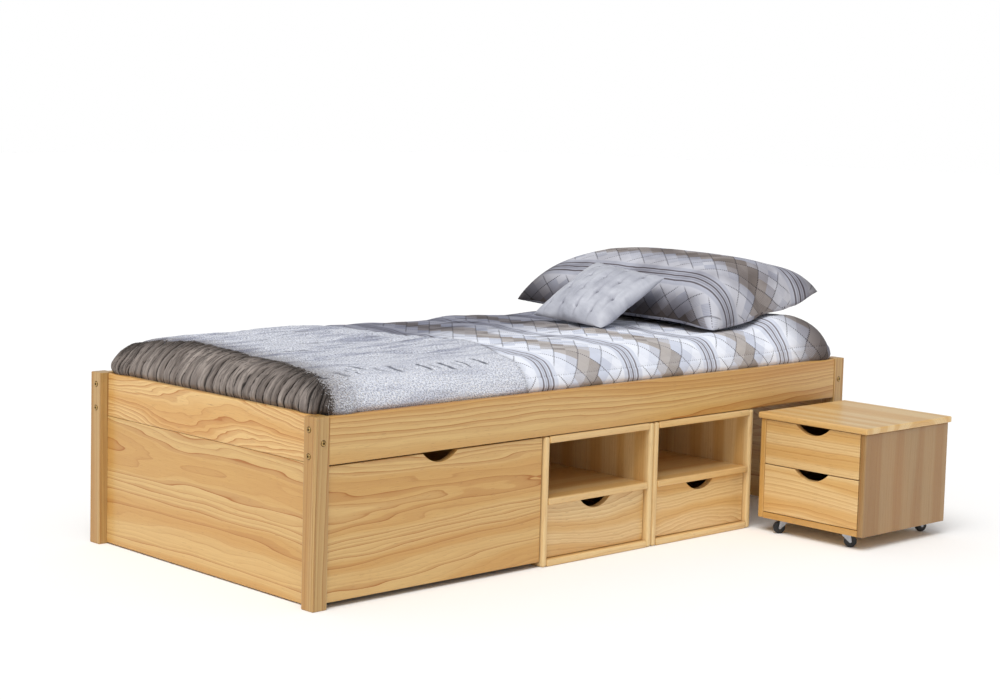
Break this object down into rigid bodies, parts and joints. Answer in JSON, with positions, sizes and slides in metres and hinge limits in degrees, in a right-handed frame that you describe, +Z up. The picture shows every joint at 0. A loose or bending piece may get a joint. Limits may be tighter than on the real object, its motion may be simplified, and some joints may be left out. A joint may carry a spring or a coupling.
{
  "type": "storage bed",
  "caption": "Single pine platform bed with a wheeled under-bed drawer, open shelf cubes with small drawers, a rolling nightstand and made-up bedding.",
  "frame": {"origin": "middle of the whole object's footprint on the floor, with the nightstand standing where the picture shows it", "axes": "+X from the foot end to the head end, +Y from the drawer side to the far side, +Z up"},
  "size_m": [2.09, 1.379, 0.7795],
  "materials": {
    "pine_frame": "satin",
    "pine_front": "satin",
    "pine_side": "satin",
    "pine_inner": "matte",
    "hardboard": "matte",
    "slats": "matte",
    "zinc": "satin",
    "black_wheel": "satin",
    "ticking": "matte",
    "quilt": "matte",
    "pillow": "matte",
    "cushion": "satin"
  },
  "bodies": {
    "frame": {"post_foot_front": "pine_frame", "post_foot_back": "pine_frame", "post_head_front": "pine_frame", "post_head_back": "pine_frame", "foot_rail": "pine_front", "foot_panel": "pine_front", "head_rail": "pine_front", "head_panel": "pine_front", "side_rail_front": "pine_front", "side_rail_back": "pine_front", "slat_cleat_front": "pine_inner", "slat_cleat_back": "pine_inner", "slat_roll": "slats", "cube_1_left": "pine_side", "cube_1_right": "pine_side", "cube_1_top": "pine_side", "cube_1_shelf": "pine_side", "cube_1_bottom": "pine_side", "cube_1_back": "hardboard", "cube_2_left": "pine_side", "cube_2_right": "pine_side", "cube_2_top": "pine_side", "cube_2_shelf": "pine_side", "cube_2_bottom": "pine_side", "cube_2_back": "hardboard", "mattress": "ticking", "bedspread": "quilt", "pillow": "pillow", "cushion": "cushion"},
    "big_drawer": {"big_drawer_front": "pine_front", "big_drawer_back": "pine_inner", "big_drawer_left": "pine_inner", "big_drawer_right": "pine_inner", "big_drawer_bottom": "hardboard"},
    "big_wheel_left_front": {"big_wheel_left_front": "black_wheel"},
    "big_wheel_left_back": {"big_wheel_left_back": "black_wheel"},
    "big_wheel_right_front": {"big_wheel_right_front": "black_wheel"},
    "big_wheel_right_back": {"big_wheel_right_back": "black_wheel"},
    "cube_1_drawer": {"cube_1_drawer_front": "pine_front", "cube_1_drawer_box": "pine_inner"},
    "cube_2_drawer": {"cube_2_drawer_front": "pine_front", "cube_2_drawer_box": "pine_inner"},
    "nightstand": {"stand_top": "pine_side", "stand_side_bedside": "pine_side", "stand_side_outer": "pine_side", "stand_bottom": "pine_side", "stand_back": "hardboard", "stand_divider": "hardboard"},
    "stand_drawer_upper": {"stand_front_upper": "pine_front", "stand_box_upper": "pine_inner"},
    "stand_drawer_lower": {"stand_front_lower": "pine_front", "stand_box_lower": "pine_inner"},
    "caster_foot_bedside": {"caster_fork_foot_bedside": "zinc"},
    "caster_wheel_foot_bedside": {"caster_wheel_foot_bedside": "black_wheel"},
    "caster_foot_outer": {"caster_fork_foot_outer": "zinc"},
    "caster_wheel_foot_outer": {"caster_wheel_foot_outer": "black_wheel"},
    "caster_head_bedside": {"caster_fork_head_bedside": "zinc"},
    "caster_wheel_head_bedside": {"caster_wheel_head_bedside": "black_wheel"},
    "caster_head_outer": {"caster_fork_head_outer": "zinc"},
    "caster_wheel_head_outer": {"caster_wheel_head_outer": "black_wheel"}
  },
  "joints": [
    {"name": "big_drawer_slide", "type": "slide", "parent": "frame", "child": "big_drawer", "axis": [0, -1, 0], "range_m": [0, 0.6]},
    {"name": "big_wheel_left_front_spin", "type": "hinge", "parent": "big_drawer", "child": "big_wheel_left_front", "pos_m": [-0.965, -0.1705, 0.0225], "axis": [1, 0, 0], "continuous": true},
    {"name": "big_wheel_left_back_spin", "type": "hinge", "parent": "big_drawer", "child": "big_wheel_left_back", "pos_m": [-0.965, 0.4395, 0.0225], "axis": [1, 0, 0], "continuous": true},
    {"name": "big_wheel_right_front_spin", "type": "hinge", "parent": "big_drawer", "child": "big_wheel_right_front", "pos_m": [-0.2925, -0.1705, 0.0225], "axis": [1, 0, 0], "continuous": true},
    {"name": "big_wheel_right_back_spin", "type": "hinge", "parent": "big_drawer", "child": "big_wheel_right_back", "pos_m": [-0.2925, 0.4395, 0.0225], "axis": [1, 0, 0], "continuous": true},
    {"name": "cube_1_drawer_slide", "type": "slide", "parent": "frame", "child": "cube_1_drawer", "axis": [0, -1, 0], "range_m": [0, 0.28]},
    {"name": "cube_2_drawer_slide", "type": "slide", "parent": "frame", "child": "cube_2_drawer", "axis": [0, -1, 0], "range_m": [0, 0.28]},
    {"name": "nightstand_roll", "type": "slide", "parent": "frame", "child": "nightstand", "axis": [0, -1, 0], "range_m": [0, 0.5]},
    {"name": "stand_drawer_upper_slide", "type": "slide", "parent": "nightstand", "child": "stand_drawer_upper", "axis": [-1, 0, 0], "range_m": [0, 0.27]},
    {"name": "stand_drawer_lower_slide", "type": "slide", "parent": "nightstand", "child": "stand_drawer_lower", "axis": [-1, 0, 0], "range_m": [0, 0.27]},
    {"name": "caster_swivel_foot_bedside", "type": "hinge", "parent": "nightstand", "child": "caster_foot_bedside", "pos_m": [0.632, -0.3885, 0.037], "axis": [0, 0, 1], "continuous": true},
    {"name": "caster_spin_foot_bedside", "type": "hinge", "parent": "caster_foot_bedside", "child": "caster_wheel_foot_bedside", "pos_m": [0.62161, -0.3825, 0.0178], "axis": [-0.5, -0.866, 0], "continuous": true},
    {"name": "caster_swivel_foot_outer", "type": "hinge", "parent": "nightstand", "child": "caster_foot_outer", "pos_m": [0.632, -0.6105, 0.037], "axis": [0, 0, 1], "continuous": true},
    {"name": "caster_spin_foot_outer", "type": "hinge", "parent": "caster_foot_outer", "child": "caster_wheel_foot_outer", "pos_m": [0.63888, -0.62033, 0.0178], "axis": [0.8192, 0.5736, 0], "continuous": true},
    {"name": "caster_swivel_head_bedside", "type": "hinge", "parent": "nightstand", "child": "caster_head_bedside", "pos_m": [0.98, -0.3885, 0.037], "axis": [0, 0, 1], "continuous": true},
    {"name": "caster_spin_head_bedside", "type": "hinge", "parent": "caster_head_bedside", "child": "caster_wheel_head_bedside", "pos_m": [0.98507, -0.37762, 0.0178], "axis": [-0.9063, 0.4226, 0], "continuous": true},
    {"name": "caster_swivel_head_outer", "type": "hinge", "parent": "nightstand", "child": "caster_head_outer", "pos_m": [0.98, -0.6105, 0.037], "axis": [0, 0, 1], "continuous": true},
    {"name": "caster_spin_head_outer", "type": "hinge", "parent": "caster_head_outer", "child": "caster_wheel_head_outer", "pos_m": [0.99128, -0.6146, 0.0178], "axis": [0.342, 0.9397, 0], "continuous": true}
  ],
  "couplings": [
    {"joint": "big_wheel_left_front_spin", "follows": "big_drawer_slide", "rad_per_m": 44.444},
    {"joint": "big_wheel_left_back_spin", "follows": "big_drawer_slide", "rad_per_m": 44.444},
    {"joint": "big_wheel_right_front_spin", "follows": "big_drawer_slide", "rad_per_m": 44.444},
    {"joint": "big_wheel_right_back_spin", "follows": "big_drawer_slide", "rad_per_m": 44.444}
  ]
}
